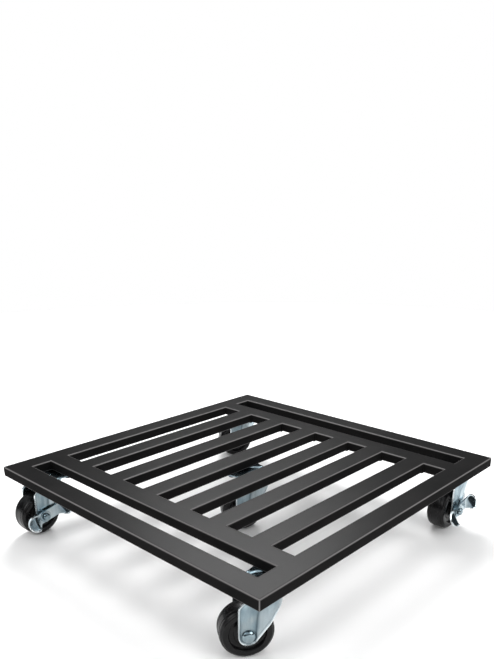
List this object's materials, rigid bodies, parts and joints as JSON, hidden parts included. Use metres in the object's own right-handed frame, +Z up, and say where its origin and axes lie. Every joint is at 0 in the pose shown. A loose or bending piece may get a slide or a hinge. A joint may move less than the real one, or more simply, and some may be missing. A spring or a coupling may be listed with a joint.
{
  "type": "furniture dolly",
  "caption": "Square furniture dolly: a welded slatted deck of flat black steel tubes on zinc-plated swivel casters with black wheels and side-rocker brakes on one diagonal.",
  "frame": {"origin": "on the floor under the middle of the deck", "axes": "+Z up; +Y along the slats; +X across the slats. The braked casters stand at (-X, -Y) and (+X, +Y)"},
  "size_m": [0.4121, 0.426, 0.082],
  "materials": {
    "powder_coated_steel": "satin black powder coat",
    "zinc_plated_steel": "bright blue-white zinc plate",
    "black_rubber": "moulded, satin",
    "black_oxide_steel": "black oxide, oiled"
  },
  "bodies": {
    "deck": {"side_rail_left": "powder_coated_steel", "side_rail_right": "powder_coated_steel", "end_rail_front": "powder_coated_steel", "end_rail_rear": "powder_coated_steel", "cross_rail_front": "powder_coated_steel", "cross_rail_rear": "powder_coated_steel", "slat_1": "powder_coated_steel", "slat_2": "powder_coated_steel", "slat_3": "powder_coated_steel", "slat_4": "powder_coated_steel", "slat_5": "powder_coated_steel", "slat_6": "powder_coated_steel", "screw_front_right_1": "black_oxide_steel", "screw_front_right_2": "black_oxide_steel", "screw_front_right_3": "black_oxide_steel", "screw_front_right_4": "black_oxide_steel", "screw_rear_right_1": "black_oxide_steel", "screw_rear_right_2": "black_oxide_steel", "screw_rear_right_3": "black_oxide_steel", "screw_rear_right_4": "black_oxide_steel", "screw_rear_left_1": "black_oxide_steel", "screw_rear_left_2": "black_oxide_steel", "screw_rear_left_3": "black_oxide_steel", "screw_rear_left_4": "black_oxide_steel", "screw_front_left_1": "black_oxide_steel", "screw_front_left_2": "black_oxide_steel", "screw_front_left_3": "black_oxide_steel", "screw_front_left_4": "black_oxide_steel", "screw_centre_1": "black_oxide_steel", "screw_centre_2": "black_oxide_steel", "screw_centre_3": "black_oxide_steel", "screw_centre_4": "black_oxide_steel", "plate_front_right": "zinc_plated_steel", "plate_rear_right": "zinc_plated_steel", "plate_rear_left": "zinc_plated_steel", "plate_front_left": "zinc_plated_steel", "plate_centre": "zinc_plated_steel", "kingpin_front_right": "zinc_plated_steel", "kingpin_rear_right": "zinc_plated_steel", "kingpin_rear_left": "zinc_plated_steel", "kingpin_front_left": "zinc_plated_steel", "kingpin_centre": "zinc_plated_steel"},
    "yoke_front_right": {"fork_front_right": "zinc_plated_steel", "axle_front_right": "zinc_plated_steel"},
    "roller_front_right": {"wheel_front_right": "black_rubber"},
    "yoke_rear_right": {"fork_rear_right": "zinc_plated_steel", "axle_rear_right": "zinc_plated_steel"},
    "roller_rear_right": {"wheel_rear_right": "black_rubber"},
    "rocker_rear_right": {"brake_rocker_rear_right": "zinc_plated_steel"},
    "yoke_rear_left": {"fork_rear_left": "zinc_plated_steel", "axle_rear_left": "zinc_plated_steel"},
    "roller_rear_left": {"wheel_rear_left": "black_rubber"},
    "yoke_front_left": {"fork_front_left": "zinc_plated_steel", "axle_front_left": "zinc_plated_steel"},
    "roller_front_left": {"wheel_front_left": "black_rubber"},
    "rocker_front_left": {"brake_rocker_front_left": "zinc_plated_steel"},
    "yoke_centre": {"fork_centre": "zinc_plated_steel", "axle_centre": "zinc_plated_steel"},
    "roller_centre": {"wheel_centre": "black_rubber"}
  },
  "joints": [
    {"name": "swivel_front_right", "type": "hinge", "parent": "deck", "child": "yoke_front_right", "pos_m": [0.176, -0.174, 0.06], "axis": [0, 0, 1], "continuous": true},
    {"name": "spin_front_right", "type": "hinge", "parent": "yoke_front_right", "child": "roller_front_right", "pos_m": [0.16682, -0.18711, 0.025], "axis": [0.8192, -0.5736, 0], "continuous": true},
    {"name": "swivel_rear_right", "type": "hinge", "parent": "deck", "child": "yoke_rear_right", "pos_m": [0.176, 0.174, 0.06], "axis": [0, 0, 1], "continuous": true},
    {"name": "spin_rear_right", "type": "hinge", "parent": "yoke_rear_right", "child": "roller_rear_right", "pos_m": [0.176, 0.158, 0.025], "axis": [1, 0, 0], "continuous": true},
    {"name": "brake_rear_right", "type": "hinge", "parent": "yoke_rear_right", "child": "rocker_rear_right", "pos_m": [0.176, 0.158, 0.025], "axis": [-1, 0, 0], "range_deg": [0, 25.4]},
    {"name": "swivel_rear_left", "type": "hinge", "parent": "deck", "child": "yoke_rear_left", "pos_m": [-0.176, 0.174, 0.06], "axis": [0, 0, 1], "continuous": true},
    {"name": "spin_rear_left", "type": "hinge", "parent": "yoke_rear_left", "child": "roller_rear_left", "pos_m": [-0.18518, 0.16089, 0.025], "axis": [0.8192, -0.5736, 0], "continuous": true},
    {"name": "swivel_front_left", "type": "hinge", "parent": "deck", "child": "yoke_front_left", "pos_m": [-0.176, -0.174, 0.06], "axis": [0, 0, 1], "continuous": true},
    {"name": "spin_front_left", "type": "hinge", "parent": "yoke_front_left", "child": "roller_front_left", "pos_m": [-0.176, -0.19, 0.025], "axis": [1, 0, 0], "continuous": true},
    {"name": "brake_front_left", "type": "hinge", "parent": "yoke_front_left", "child": "rocker_front_left", "pos_m": [-0.176, -0.19, 0.025], "axis": [-1, 0, 0], "range_deg": [0, 25.4]},
    {"name": "swivel_centre", "type": "hinge", "parent": "deck", "child": "yoke_centre", "pos_m": [0.00475, 0, 0.06], "axis": [0, 0, 1], "continuous": true},
    {"name": "spin_centre", "type": "hinge", "parent": "yoke_centre", "child": "roller_centre", "pos_m": [-0.00443, -0.01311, 0.025], "axis": [0.8192, -0.5736, 0], "continuous": true}
  ]
}
